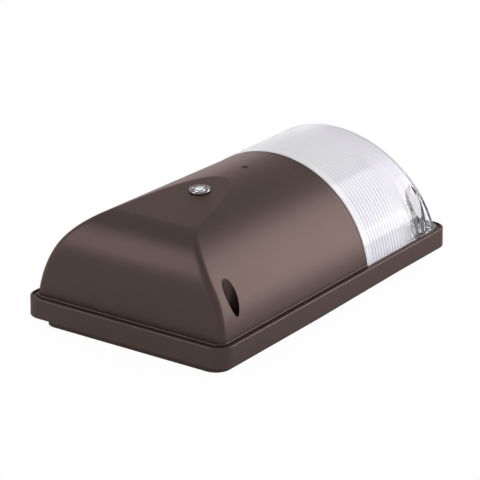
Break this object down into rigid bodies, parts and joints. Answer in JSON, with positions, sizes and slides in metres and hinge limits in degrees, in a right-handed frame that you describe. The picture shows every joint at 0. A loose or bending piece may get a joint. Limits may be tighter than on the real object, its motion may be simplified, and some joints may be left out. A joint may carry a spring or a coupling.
{
  "type": "wall pack light",
  "caption": "Small outdoor wall pack light with a domed metal cover, a ribbed clear lens, a dusk-to-dawn sensor and a lift-off front.",
  "frame": {"origin": "centre of the flat back face, on the wall plane", "axes": "+Z out of the wall, +Y along the length towards the scooped end with the sensor, X across the width; stored lying on its back, and turned +90 degrees about X it hangs on a wall"},
  "size_m": [0.14, 0.2376, 0.0763],
  "materials": {
    "bronze_enamel": "dark bronze powder coat, satin",
    "clear_lens": "clear prismatic polycarbonate",
    "foam_gasket": "matte black foam",
    "silicone_gasket": "pale silicone",
    "black_nylon": "moulded",
    "white_nylon": "moulded",
    "zinc_steel": "zinc plated",
    "chrome_bezel": "polished",
    "sensor_window": "clear moulded acrylic",
    "driver_plastic": "moulded",
    "circuit_board": "lacquered",
    "white_board": "white solder resist on aluminium",
    "lamp_phosphor": "cast resin",
    "sheet_aluminium": "mill finish",
    "white_enamel": "white baked enamel",
    "black_wire": "extruded",
    "white_wire": "extruded",
    "green_wire": "extruded",
    "red_wire": "extruded",
    "cap_plastic": "moulded",
    "tinned_terminal": "tinned",
    "green_screw": "green dyed"
  },
  "bodies": {
    "base": {"back_housing": "bronze_enamel", "wall_gasket": "foam_gasket", "entry_bushing": "black_nylon", "cover_gasket": "silicone_gasket", "sensor_socket": "white_nylon", "driver_case": "driver_plastic", "driver_lid": "driver_plastic", "driver_board": "circuit_board", "driver_components": "black_nylon", "driver_screws": "zinc_steel", "led_bracket": "sheet_aluminium", "bracket_screws": "zinc_steel", "reflector_tray": "white_enamel", "tray_screws": "zinc_steel", "wire_grommet": "foam_gasket", "led_board": "white_board", "led_packages": "white_nylon", "led_phosphors": "lamp_phosphor", "led_connector": "white_nylon", "led_board_screws": "zinc_steel", "line_wire": "black_wire", "neutral_wire": "white_wire", "ground_wire": "green_wire", "led_wire_positive": "red_wire", "led_wire_negative": "black_wire", "wire_caps": "cap_plastic", "ground_terminal": "tinned_terminal", "ground_screw": "green_screw"},
    "front": {"front_cover": "bronze_enamel", "seam_gasket": "silicone_gasket", "lens": "clear_lens", "lens_retainer": "zinc_steel", "retainer_screws": "zinc_steel", "screw_washers": "black_nylon", "photocell_seal": "foam_gasket", "photocell_housing": "black_nylon", "photocell_bezel": "chrome_bezel", "photocell_lens": "sensor_window", "photocell_nut": "black_nylon", "photocell_lead_black": "black_wire", "photocell_lead_white": "white_wire", "sensor_plug": "white_nylon"},
    "cover_screw_1": {"cover_screw_1": "zinc_steel"},
    "cover_screw_2": {"cover_screw_2": "zinc_steel"},
    "cover_screw_3": {"cover_screw_3": "zinc_steel"},
    "cover_screw_4": {"cover_screw_4": "zinc_steel"}
  },
  "joints": [
    {"name": "cover_lift", "type": "slide", "parent": "base", "child": "front", "axis": [0, 0, 1], "range_m": [0, 0.09]},
    {"name": "screw_turn_1", "type": "hinge", "parent": "front", "child": "cover_screw_1", "pos_m": [0.0586, 0.0955, 0.0177], "axis": [0, 0, 1], "continuous": true},
    {"name": "screw_turn_2", "type": "hinge", "parent": "front", "child": "cover_screw_2", "pos_m": [-0.0586, 0.0955, 0.0177], "axis": [0, 0, 1], "continuous": true},
    {"name": "screw_turn_3", "type": "hinge", "parent": "front", "child": "cover_screw_3", "pos_m": [-0.0586, -0.0955, 0.0177], "axis": [0, 0, 1], "continuous": true},
    {"name": "screw_turn_4", "type": "hinge", "parent": "front", "child": "cover_screw_4", "pos_m": [0.0586, -0.0955, 0.0177], "axis": [0, 0, 1], "continuous": true}
  ]
}
